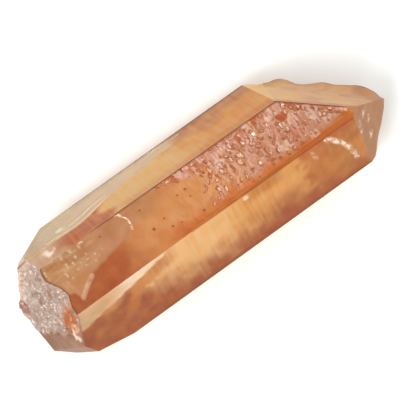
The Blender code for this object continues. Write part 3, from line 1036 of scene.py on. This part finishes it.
def film_on_caps(p, cloud, fine):
    # spark: where the painted highlights lie
    spark = max(near(p, centre, SPARKLE_SIZE) for centre in CAP_HIGHLIGHTS)
    spark *= ramp(noise.noise(p / 0.25) + 0.5 * fine, -0.1, 0.2)
    # Apricot with shell clouds, pale by the shoulder, beige low down and at the far end.
    tone = CAP_APRICOT.lerp(SHELL, 0.7 * ramp(cloud + 0.3 * fine, -0.1, 0.3))
    tone = tone.lerp(SHOULDER_PALE, 0.6 * ramp(p.x + cloud, 22.0, 18.5))
    tone = tone.lerp(TIP_BEIGE, 0.2 * ramp(p.x, 23.0, 26.0))
    tone = tone.lerp(TIP_BEIGE, 0.9 * ramp(-p.z - 0.35 * (p.x - 19.0), 4.0, 5.8))
    by_ridge = max(ramp(p.z + 0.2 * fine, 5.4, 6.4), ramp(p.x, 26.4, 27.6))
    tone = tone.lerp(AMBER, 0.5 * by_ridge)
    return tone.lerp(CREAM, spark), 0.5 + 0.3 * spark


def film_on_front_cap(p, cloud, fine):
    tone, frost = film_on_caps(p, cloud, fine)
    # the painted highlights keep their colour on the beige front face
    sparkle = 3.0 * (frost - 0.5)
    return TIP_BEIGE.lerp(tone, sparkle), frost - 0.03


print(len(CAP_HIGHLIGHTS), "sparkles on the tip")

# %% [markdown]
# ## One film for each face
# A table says which rule colours which face. Faces that aren't in it belong to the tip.
# Over all of them goes one bright chip on the ridge by the break.

# %% Film at any place
FILM_BY_FACE = {
    "top": film_on_top,
    "rim": lambda p, cloud, fine: (ORANGE, 0.4),
    "upper_back": film_on_upper_back,
    "upper_front": film_on_upper_front,
    "rest": film_on_underside,
    "lower_front": film_on_underside,
    "lower_back": film_on_underside,
    "base": film_on_break,
    "chip_low": film_on_break,
    "chip_back": lambda p, cloud, fine: (SHELL.lerp(PALE_STRAW, 0.5), 0.4),
    "chip_corner": lambda p, cloud, fine: (SHELL.lerp(CREAM, 0.5), 0.5),
    "shoulder": lambda p, cloud, fine: (SHOULDER_PALE, 0.55),
    "major_front": film_on_front_cap,
}
CLOUD_SIZE, FINE_SIZE = 2.4, 0.8
RIDGE_CHIP = (-17.7, 8.0, 5.3)


def film_at(p, name):
    cloud, fine = noise.noise(p / CLOUD_SIZE), noise.noise(p / FINE_SIZE)
    tone, frost = FILM_BY_FACE.get(name, film_on_caps)(p, cloud, fine)
    chip = near(p, RIDGE_CHIP, 1.3) * ramp(fine, -0.4, 0.0) * ramp(p.y, 6.7, 7.3)
    return tone.lerp(CREAM, chip), max(frost, 0.8 * chip)


print(len(FILM_BY_FACE), "faces with a film of their own")

# %% [markdown]
# ## The carved crystal as a mesh
# Film and frost are kept on the corners of the cells, and the marks on their points. A
# node tree and a material can both read such attributes by name. Vertex paint could hold
# the colour as well, but it keeps only one small whole number per channel. The points are
# turned to metres and moved to their place in the row's frame here, so the object itself
# stays at the origin, unturned and unscaled.

# %% The mesh with its film and its marks
bmesh.ops.triangulate(bm, faces=[f for f in bm.faces if len(f.verts) > 4])
films, frosts = [], []
for face in bm.faces:
    name = PLANE_NAMES[face[plane_layer] - 1]
    for corner in face.loops:
        tone, frost = film_at(corner.vert.co, name)
        films.extend((*tone, 1.0))
        frosts.append(frost)
for vert in bm.verts:
    vert.co = (vert.co + AXIS_IN_ROW) * MM
bm.normal_update()
carved = bpy.data.meshes.new("carved_quartz")
bm.to_mesh(carved)
bm.free()
for i, mark in enumerate(MARKS):
    layer = carved.attributes.new(mark, "FLOAT", "POINT")
    layer.data.foreach_set("value", np.array([m[i] for m in marks], np.float32))
layer = carved.attributes.new("film", "FLOAT_COLOR", "CORNER")
layer.data.foreach_set("color", np.array(films, np.float32))
layer = carved.attributes.new("frost", "FLOAT", "CORNER")
layer.data.foreach_set("value", np.array(frosts, np.float32))
print(len(carved.polygons), "faces")

# %% [markdown]
# ## One helper for nodes
# A tree is built from the same three steps over and over: add a node, set it, link it.
# One small function does them for every kind of node, so each node below is one call
# that reads like its settings in the editor.

# %% Add a node
def add(tree, kind, inputs=(), **settings):
    """Add a node, set its properties, fill its inputs, and give its first output in use.

    The inputs are a dict by name, or a tuple in order. A socket is linked, and anything
    else becomes the input's value.
    """
    node = tree.nodes.new(kind)
    for key, value in settings.items():
        setattr(node, key, value)
    for key, value in inputs.items() if isinstance(inputs, dict) else enumerate(inputs):
        if isinstance(value, bpy.types.NodeSocket):
            tree.links.new(value, node.inputs[key])
        else:
            node.inputs[key].default_value = value
    return next((o for o in node.outputs if o.enabled), None)


print("a tuple fills inputs in order, a dict by name")

# %% [markdown]
# ## Growth relief by Geometry Nodes
# Three kinds of fine relief repeat over the crystal by simple rules: small growth pits,
# fine striations, and the grains of the break. Bump in the material would look the same
# from afar, but it isn't part of the mesh. A node tree moves the real points, and its
# sizes are named inputs, so they can be tried in the editor. Lengths are in millimetres.
# Pit Radius is a share of a cell, and Seed moves all three patterns to another place.

# %% Sizes of the growth relief
RELIEF_SIZES = {
    "Pit Length": 0.5, "Pit Stretch": 1.9, "Pit Radius": 0.55, "Pit Depth": 0.17,
    "Striation Spacing": 0.55, "Striation Height": 0.018,
    "Grain Size": 0.6, "Grain Tilt": 0.9, "Seed": 0.0,
}
HALF = (0.5, 0.5, 0.5)  # noise lies between 0 and 1, so this centres it
print("pits, mm:", RELIEF_SIZES["Pit Length"], "by",
      round(RELIEF_SIZES["Pit Length"] * RELIEF_SIZES["Pit Stretch"], 2))

# %% [markdown]
# ## Growth pits
# A growth pit is a shallow dish, wider across the crystal than along it. Scattering small
# cutters would be slow and could leave holes. Voronoi cells, stretched across the
# crystal, give one dish to each cell. One random number of the cell is weighed against
# how crowded the place is, and decides whether there is a pit. Another sets its size, and
# a third is kept for the material, which paints a highlight on the floor of some pits.

# %% Nodes for the pits
def pits(tree, given, mark, bent):
    """How far a place sinks, how deep it is in its pit, and its pit's random number."""
    across = add(tree, "ShaderNodeMath", (given["Pit Length"], given["Pit Stretch"]),
                 operation="MULTIPLY")
    size = add(tree, "ShaderNodeCombineXYZ", (given["Pit Length"], across, across))
    stretched = add(tree, "ShaderNodeVectorMath", (bent, size), operation="DIVIDE")
    cells = add(tree, "ShaderNodeTexVoronoi", {"Vector": stretched, "Scale": 1.0}).node.outputs
    chance = add(tree, "ShaderNodeSeparateXYZ", (cells["Color"],)).node.outputs
    crowded = add(tree, "ShaderNodeMath", (mark["pitted"], 1.2), operation="MULTIPLY")
    spare = add(tree, "ShaderNodeMath", (crowded, chance["X"]), operation="SUBTRACT")
    present = add(tree, "ShaderNodeMapRange", {"Value": spare, "From Min": 0.0, "From Max": 0.15})
    share = add(tree, "ShaderNodeMath", (chance["Z"], 0.6, 0.65), operation="MULTIPLY_ADD")
    radius = add(tree, "ShaderNodeMath", (given["Pit Radius"], share), operation="MULTIPLY")
    dish = add(tree, "ShaderNodeMapRange", {
        "Value": cells["Distance"], "From Min": radius, "From Max": 0.0,
    }, interpolation_type="SMOOTHSTEP")
    pit = add(tree, "ShaderNodeMath", (dish, present), operation="MULTIPLY")
    depth = add(tree, "ShaderNodeMath", (given["Pit Depth"], -1.0), operation="MULTIPLY")
    sink = add(tree, "ShaderNodeMath", (pit, depth), operation="MULTIPLY")
    return sink, pit, chance["Y"]


print("pit depth, mm:", RELIEF_SIZES["Pit Depth"])

# %% [markdown]
# ## Fine striations
# A striation is a step across the whole face, so its height depends on one number only:
# the place along the crystal. One-dimensional noise is exactly that. A wave texture would
# repeat too evenly.

# %% Nodes for the striations
def striations(tree, given, mark, bent):
    along = add(tree, "ShaderNodeSeparateXYZ", (bent,))
    place = add(tree, "ShaderNodeMath", (along, given["Striation Spacing"]), operation="DIVIDE")
    lines = add(tree, "ShaderNodeTexNoise", {"W": place, "Scale": 1.0, "Detail": 1.0},
                noise_dimensions="1D")
    level = add(tree, "ShaderNodeMath", (lines, 0.5), operation="SUBTRACT")
    shown = add(tree, "ShaderNodeMath", (level, mark["striated"]), operation="MULTIPLY")
    return add(tree, "ShaderNodeMath", (shown, given["Striation Height"]), operation="MULTIPLY")


print("striation height, mm:", RELIEF_SIZES["Striation Height"])

# %% [markdown]
# ## Grains of the break
# Sugary quartz is made of small flat facets, each tilted its own way, and that is why it
# sparkles. Plain noise would look like clay. A Voronoi cell has a centre and a random
# colour: the colour, taken as a slope, tilts the cell about its centre.

# %% Nodes for the grains
def grains(tree, given, mark, at):
    per_mm = add(tree, "ShaderNodeMath", (1.0, given["Grain Size"]), operation="DIVIDE")
    crumb = add(tree, "ShaderNodeVectorMath", {"Vector": at, "Scale": per_mm}, operation="SCALE")
    cells = add(tree, "ShaderNodeTexVoronoi", {"Vector": crumb, "Scale": 1.0}).node.outputs
    slope = add(tree, "ShaderNodeVectorMath", (cells["Color"], HALF), operation="SUBTRACT")
    reach = add(tree, "ShaderNodeVectorMath", (crumb, cells["Position"]), operation="SUBTRACT")
    rise = add(tree, "ShaderNodeVectorMath", (slope, reach), operation="DOT_PRODUCT")
    rise = add(tree, "ShaderNodeMath", (rise.node.outputs["Value"], mark["granular"]),
               operation="MULTIPLY")
    steep = add(tree, "ShaderNodeMath", (given["Grain Tilt"], given["Grain Size"]),
                operation="MULTIPLY")
    return add(tree, "ShaderNodeMath", (rise, steep), operation="MULTIPLY")


print("grain size, mm:", RELIEF_SIZES["Grain Size"])

# %% [markdown]
# ## The whole relief tree
# The three heights are added and push each point along its normal. A little wobble bends
# the pits and lines first, because nothing grown is ruled. The tree ends by making its
# result real and giving it its material.

# %% Build the relief tree
def growth_relief():
    tree = bpy.data.node_groups.new("growth_relief", "GeometryNodeTree")
    face = tree.interface
    face.new_socket("Geometry", in_out="OUTPUT", socket_type="NodeSocketGeometry")
    face.new_socket("Geometry", in_out="INPUT", socket_type="NodeSocketGeometry")
    for label, value in RELIEF_SIZES.items():
        face.new_socket(label, in_out="INPUT", socket_type="NodeSocketFloat").default_value = value
    face.new_socket("Material", in_out="INPUT", socket_type="NodeSocketMaterial")
    given = add(tree, "NodeGroupInput").node.outputs
    mark = {m: add(tree, "GeometryNodeInputNamedAttribute", {"Name": m}) for m in MARKS}
    place = add(tree, "ShaderNodeVectorMath", {
        "Vector": add(tree, "GeometryNodeInputPosition"), "Scale": 1 / MM}, operation="SCALE")
    at = add(tree, "ShaderNodeVectorMath", (place, given["Seed"]), operation="ADD")
    wobble = add(tree, "ShaderNodeTexNoise", {"Vector": at, "Scale": 1.1, "Detail": 2.0})
    wobble = add(tree, "ShaderNodeVectorMath", (wobble.node.outputs["Color"], HALF),
                 operation="SUBTRACT")
    bent = add(tree, "ShaderNodeVectorMath", (at, wobble), operation="ADD")
    height, pit, spark = pits(tree, given, mark, bent)
    for more in (striations(tree, given, mark, bent), grains(tree, given, mark, at)):
        height = add(tree, "ShaderNodeMath", (height, more), operation="ADD")
    height = add(tree, "ShaderNodeMath", (height, MM), operation="MULTIPLY")
    push = add(tree, "ShaderNodeVectorMath", {
        "Vector": add(tree, "GeometryNodeInputNormal"), "Scale": height}, operation="SCALE")
    shape = add(tree, "GeometryNodeSetPosition", {"Geometry": given["Geometry"], "Offset": push})
    for label, value in {"pit": pit, "spark": spark}.items():
        shape = add(tree, "GeometryNodeStoreNamedAttribute",
                    {"Geometry": shape, "Name": label, "Value": value},
                    data_type="FLOAT", domain="POINT")
    shape = add(tree, "GeometryNodeRealizeInstances", (shape,))
    shape = add(tree, "GeometryNodeSetMaterial",
                {"Geometry": shape, "Material": given["Material"]})
    add(tree, "NodeGroupOutput", (shape,))
    print(len(tree.nodes), "nodes in the relief tree")
    return tree


relief_tree = growth_relief()

# %% [markdown]
# ## Running a tree and keeping the result
# A modifier would recompute on every change, and other programs can't read it. So the
# tree is run once and its result becomes the plain mesh. Inputs are set by the socket's
# identifier, because two sockets may share a name.

# %% Run a node tree on an object
def run_tree(thing, tree, settings):
    modifier = thing.modifiers.new(tree.name, "NODES")
    modifier.node_group = tree
    for socket in tree.interface.items_tree:
        if socket.name in settings:
            modifier[socket.identifier] = settings[socket.name]
    done = thing.evaluated_get(bpy.context.evaluated_depsgraph_get())
    thing.data = bpy.data.meshes.new_from_object(done)
    thing.modifiers.clear()
    print(len(thing.data.polygons), "faces after", tree.name)


# %% [markdown]
# ## The finish: quartz under a skin of iron oxide
# The stone is rock crystal, as it grew. Clean quartz is glassy, with an index of 1.544,
# and it is clear, so light from behind comes through. The skin is iron oxide a few
# thousandths of a millimetre thick, laid down by water and never polished. To the eye
# that gives deeper orange where the skin is thicker, a soft sheen on it, and hard sharp
# highlights only on clean faces, chips and pits. Painting a glass orange all through
# would look like sweets: the colour has to lie on the faces. So colour, roughness and
# see-through share follow the film and the frost, and the patterns here break them up.

# %% Patterns in the skin, by their real size
# In millimetres. A pair is the size along the crystal and the size across it.
SKIN_CLOUD = 1.818
SKIN_STREAK = (0.4545, 6.667)  # the real lines are finer; this is as fine as shows
# SHEEN_STROKE sizes the strokes of painted sheen on the pitted ground.
SHEEN_STROKE = (0.5263, 2.222)
GRIT_JUMBLE = 0.7692
GRIT = 0.2778


def stretched_noise(tree, at, sizes):
    """Noise at a place, drawn out to a size along the crystal and a size across it."""
    along, across = sizes
    place = add(tree, "ShaderNodeVectorMath", (at, (1 / along, 1 / across, 1 / across)),
                operation="MULTIPLY")
    return add(tree, "ShaderNodeTexNoise", {"Vector": place, "Scale": 1.0, "Detail": 3.0})


# The cells of this pattern carry the painted crevice shade and the painted glints of the break.
def grit_pattern(tree, at):
    jumble = add(tree, "ShaderNodeTexNoise", {
        "Vector": at, "Scale": 1 / GRIT_JUMBLE, "Detail": 6.0, "Roughness": 0.75})
    place = add(tree, "ShaderNodeVectorMath", (at, jumble.node.outputs["Color"]), operation="ADD")
    cells = add(tree, "ShaderNodeTexVoronoi", {"Vector": place, "Scale": 1 / GRIT})
    return cells.node.outputs["Color"]


print("sizes, mm:", SKIN_CLOUD, SKIN_STREAK, SHEEN_STROKE, GRIT_JUMBLE, GRIT)

# %% [markdown]
# ## A thicker and a thinner skin
# A skin that is twice as thick takes the same share of the light twice, so its colour is
# the square of the thin one's. A Gamma node does that with any power: above one deepens
# the film and below one pales it, without changing its hue by hand.

# %% The film, clouded and streaked
MAPPED = ("Value", "From Min", "From Max", "To Min", "To Max")


def film_colour(tree, at, mark):
    colour = add(tree, "ShaderNodeAttribute", attribute_name="film")
    clouds = add(tree, "ShaderNodeTexNoise", {
        "Vector": at, "Scale": 1 / SKIN_CLOUD, "Detail": 4.0})
    power = add(tree, "ShaderNodeMapRange", dict(zip(MAPPED, (clouds, 0.3, 0.7, 0.86, 1.16))))
    clouded = add(tree, "ShaderNodeGamma", {"Color": colour, "Gamma": power})
    streaks = stretched_noise(tree, at, SKIN_STREAK)
    power = add(tree, "ShaderNodeMapRange", dict(zip(MAPPED, (streaks, 0.3, 0.7, 0.78, 1.26))))
    streaked = add(tree, "ShaderNodeGamma", {"Color": clouded, "Gamma": power})
    return add(tree, "ShaderNodeMix", {"Factor": mark["striated"], "A": clouded, "B": streaked},
               data_type="RGBA")


print("a film at power 1.16 is deeper by", round(1 - 0.5 ** 0.16, 2))

# %% [markdown]
# ## Washes over the film
# Six thin washes go over the film, each with a colour and a share. A share is two mapped
# values multiplied, so one loop adds them all. In order: a painted pink sheen, which is a
# painted reflection, on the rough ground; the iron ring inside a pit; a painted highlight on
# the floor of some pits; a painted dark line along some edges, which is painted shade; and
# painted shade in the crevices and painted glints on the grains of the break.

# %% Lay the washes over a colour
WHOLE = (0.0, 1.0, 0.0, 1.0)


def washes_over(tree, colour, at, mark):
    strokes, grit = stretched_noise(tree, at, SHEEN_STROKE), grit_pattern(tree, at)
    washes = (
        # painted sheen: a painted reflection on the pitted ground
        ("#F6D3CC", (strokes, 0.5, 0.62, 0.0, 0.6), (mark["pitted"], *WHOLE)),
        ("#A54A0C", (mark["pit"], 0.03, 0.15, 0.0, 0.8), (mark["pit"], 0.3, 0.5, 1.0, 0.0)),
        # painted highlight on the floor of some pits
        ("#FFE6CC", (mark["pit"], 0.35, 0.6, 0.0, 1.0), (mark["spark"], 0.3, 0.4, 0.0, 1.0)),
        # painted shade: a dark line along some edges
        ("#84400E", (mark["margin"], 0.05, 0.25, 1.0, 0.0), (mark["edging"], *WHOLE)),
        # painted shade in the crevices between grains
        ("#9C7462", (grit, 0.3, 0.2, 0.0, 0.45), (mark["granular"], *WHOLE)),
        # painted glints on the grains
        ("#FFF6F2", (grit, 0.76, 0.84, 0.0, 0.75), (mark["granular"], *WHOLE)),
    )
    for code, *shares in washes:
        shares = [add(tree, "ShaderNodeMapRange", dict(zip(MAPPED, share))) for share in shares]
        share = add(tree, "ShaderNodeMath", tuple(shares), operation="MULTIPLY")
        colour = add(tree, "ShaderNodeMix", {"Factor": share, "A": colour, "B": linear(code)},
                     data_type="RGBA")
    print(len(washes), "washes")
    return colour


# %% [markdown]
# ## The material
# Frost sets two things at once: a frosted skin is rougher, and it lets less light
# through. Pitted ground is glossier than its frost says, because pit walls are clean
# faces. Light that goes deep into the stone also picks up a faint honey tint, by plain
# absorption, which makes the thick middle warmer than the thin edges.

# %% Iron-stained quartz
QUARTZ_INDEX = 1.544
FROST_TO_ROUGHNESS = (0.1, 0.45, 0.04, 0.45)
FROST_TO_CLEARNESS = (0.0, 1.0, 0.97, 0.15)
PIT_ROUGHNESS = 0.12
DEPTH_TINT, DEPTH_DENSITY = "#F8D2A0", 8.0


def new_material(name):
    material = bpy.data.materials.new(name)
    material.use_nodes = True
    material.node_tree.nodes.clear()
    return material, material.node_tree


def stained_quartz():
    material, tree = new_material("iron_stained_quartz")
    place = add(tree, "ShaderNodeTexCoord").node.outputs["Object"]
    at = add(tree, "ShaderNodeMapping", {
        "Vector": place, "Location": -AXIS_IN_ROW, "Scale": (1 / MM,) * 3,
    })
    mark = {m: add(tree, "ShaderNodeAttribute", attribute_name=m).node.outputs["Fac"]
            for m in ("frost", "pit", "spark", *MARKS)}
    colour = washes_over(tree, film_colour(tree, at, mark), at, mark)
    rough, clear = (
        add(tree, "ShaderNodeMapRange", dict(zip(MAPPED, (mark["frost"], *limits))))
        for limits in (FROST_TO_ROUGHNESS, FROST_TO_CLEARNESS))
    rough = add(tree, "ShaderNodeMix", {"Factor": mark["pitted"], "A": rough, "B": PIT_ROUGHNESS},
                data_type="FLOAT")
    shader = add(tree, "ShaderNodeBsdfPrincipled", {
        "Base Color": colour, "Roughness": rough, "IOR": QUARTZ_INDEX,
        "Transmission Weight": clear,
    })
    depth = add(tree, "ShaderNodeVolumeAbsorption", {
        "Color": linear(DEPTH_TINT), "Density": DEPTH_DENSITY})
    add(tree, "ShaderNodeOutputMaterial", {"Surface": shader, "Volume": depth})
    return material


quartz = stained_quartz()
print(quartz.name, "has", len(quartz.node_tree.nodes), "nodes")

# %% [markdown]
# ## The finished crystal
# It is one piece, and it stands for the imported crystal, which stays underneath for
# collisions. Nothing on it moves, so it rides on the root body.

# %% The finished crystal
crystal = bpy.data.objects.new("tangerine_quartz_crystal", carved)
bpy.context.scene.collection.objects.link(crystal)
run_tree(crystal, relief_tree, {**RELIEF_SIZES, "Material": quartz})
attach(crystal, "root")
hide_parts(NODE)
print(crystal.name, "stands for", NODE)

# %% [markdown]
# ## Floor
# A sheet of matt white paper is the plainest ground for a clear stone. It shows through
# the crystal and lights it from below, so its white matters as much as the lamps. It
# lies a hair under the resting face, so the two don't flicker into each other.

# %% White paper: matt, uncoated, so it gives the eye no highlight of its own
FLOOR_WIDTH = 4.0
FLOOR_GAP = 0.00002


def paper():
    material, tree = new_material("white_paper")
    shader = add(tree, "ShaderNodeBsdfPrincipled", {
        "Base Color": linear("#F4F6F5"), "Roughness": 0.9,
    })
    add(tree, "ShaderNodeOutputMaterial", {"Surface": shader})
    return material


bpy.ops.mesh.primitive_plane_add(size=FLOOR_WIDTH, location=(0, 0, -FLOOR_GAP))
floor = bpy.context.object
floor.name = "floor"
floor.data.materials.append(paper())
print("paper, m:", FLOOR_WIDTH)

# %% [markdown]
# ## Camera
# The crystal lies slanting in the view, seen almost straight from above. The camera's own
# three directions are written out from two angles: how far the view is rolled about the
# line of sight, and how far it leans back from the vertical. A long lens from 0.3 m keeps
# the crystal's parallel edges almost parallel.

# %% Camera
CAMERA_ROLL = math.radians(37.49)
CAMERA_LEAN = math.radians(11.48)
CAMERA_DISTANCE = 0.300
VIEW_WIDTH = 0.0508
VIEW_SHIFT_UP = 0.0032
SENSOR_WIDTH = 36.0
s, c = math.sin(CAMERA_ROLL), math.cos(CAMERA_ROLL)
sl, cl = math.sin(CAMERA_LEAN), math.cos(CAMERA_LEAN)
right = Vector((c, -s, 0.0))
up = Vector((s * cl, c * cl, sl))
back = Vector((-s * sl, -c * sl, cl))
aim = AXIS_IN_ROW * MM + up * VIEW_SHIFT_UP
camera = bpy.data.objects.new("camera", bpy.data.cameras.new("camera"))
bpy.context.scene.collection.objects.link(camera)
turn = Matrix((right, up, back)).transposed().to_4x4()
camera.matrix_world = Matrix.Translation(aim + back * CAMERA_DISTANCE) @ turn
camera.data.sensor_width = SENSOR_WIDTH
camera.data.lens = SENSOR_WIDTH * CAMERA_DISTANCE / VIEW_WIDTH
camera.data.clip_start = 0.01
bpy.context.scene.camera = camera
print("lens, mm:", round(camera.data.lens, 1))

# %% [markdown]
# ## Light
# A clear stone looks its best in an even white room. A real studio hangs white cloth all
# round it. Here the world's plain white is the room, which costs nothing to render and
# leaves no seams in the mirror faces. It is bright enough to leave the paper white, and a
# gamma a little under one keeps the orange deep.

# %% The white room, and the exposure
WORLD_STRENGTH = 0.82
VIEW_GAMMA = 0.87
world = bpy.data.worlds.new("studio")
world.use_nodes = True
world.node_tree.nodes["Background"].inputs["Color"].default_value = (1, 1, 1, 1)
world.node_tree.nodes["Background"].inputs["Strength"].default_value = WORLD_STRENGTH
bpy.context.scene.world = world
bpy.context.scene.view_settings.view_transform = "Standard"
bpy.context.scene.view_settings.gamma = VIEW_GAMMA
print("room at", WORLD_STRENGTH, "and gamma", VIEW_GAMMA)

# %% [markdown]
# ## Softboxes
# A white room alone gives no shadow and no sparkle. One large softbox from the lower left
# of the view casts the soft shadow past the tip. Four small ones stand where the rough
# ground, the pits and the tip mirror them toward the viewer, so that those sparkle. They
# are square area lights, all aimed at the crystal. A sun would give hard shadows instead.

# %% Softboxes: direction, size in metres, power in watts
OVERHEAD = Vector((0, 0, 1.0))
SOFTBOX_DISTANCE = 0.6
SOFTBOXES = {
    "key_softbox": (OVERHEAD - right * 0.32 - up * 0.57, 0.2, 2.1),
    "sheen_softbox": (Vector((0.26, 0.2, 0.95)), 0.1, 0.12),
    "left_glint_softbox": (OVERHEAD - right * 0.9, 0.08, 0.3),
    "front_glint_softbox": (OVERHEAD - up * 0.9 + right * 0.2, 0.08, 0.3),
    "back_glint_softbox": (OVERHEAD + right * 0.5 + up * 0.2, 0.06, 0.12),
}
for name, (toward, size, power) in SOFTBOXES.items():
    lamp = bpy.data.lights.new(name, "AREA")
    lamp.shape = "SQUARE"
    lamp.size = size
    lamp.energy = power
    box = bpy.data.objects.new(name, lamp)
    direction = toward.normalized()
    box.matrix_world = (Matrix.Translation(direction * SOFTBOX_DISTANCE)
                        @ direction.to_track_quat("Z", "Y").to_matrix().to_4x4())
    bpy.context.scene.collection.objects.link(box)
print(len(SOFTBOXES), "softboxes")
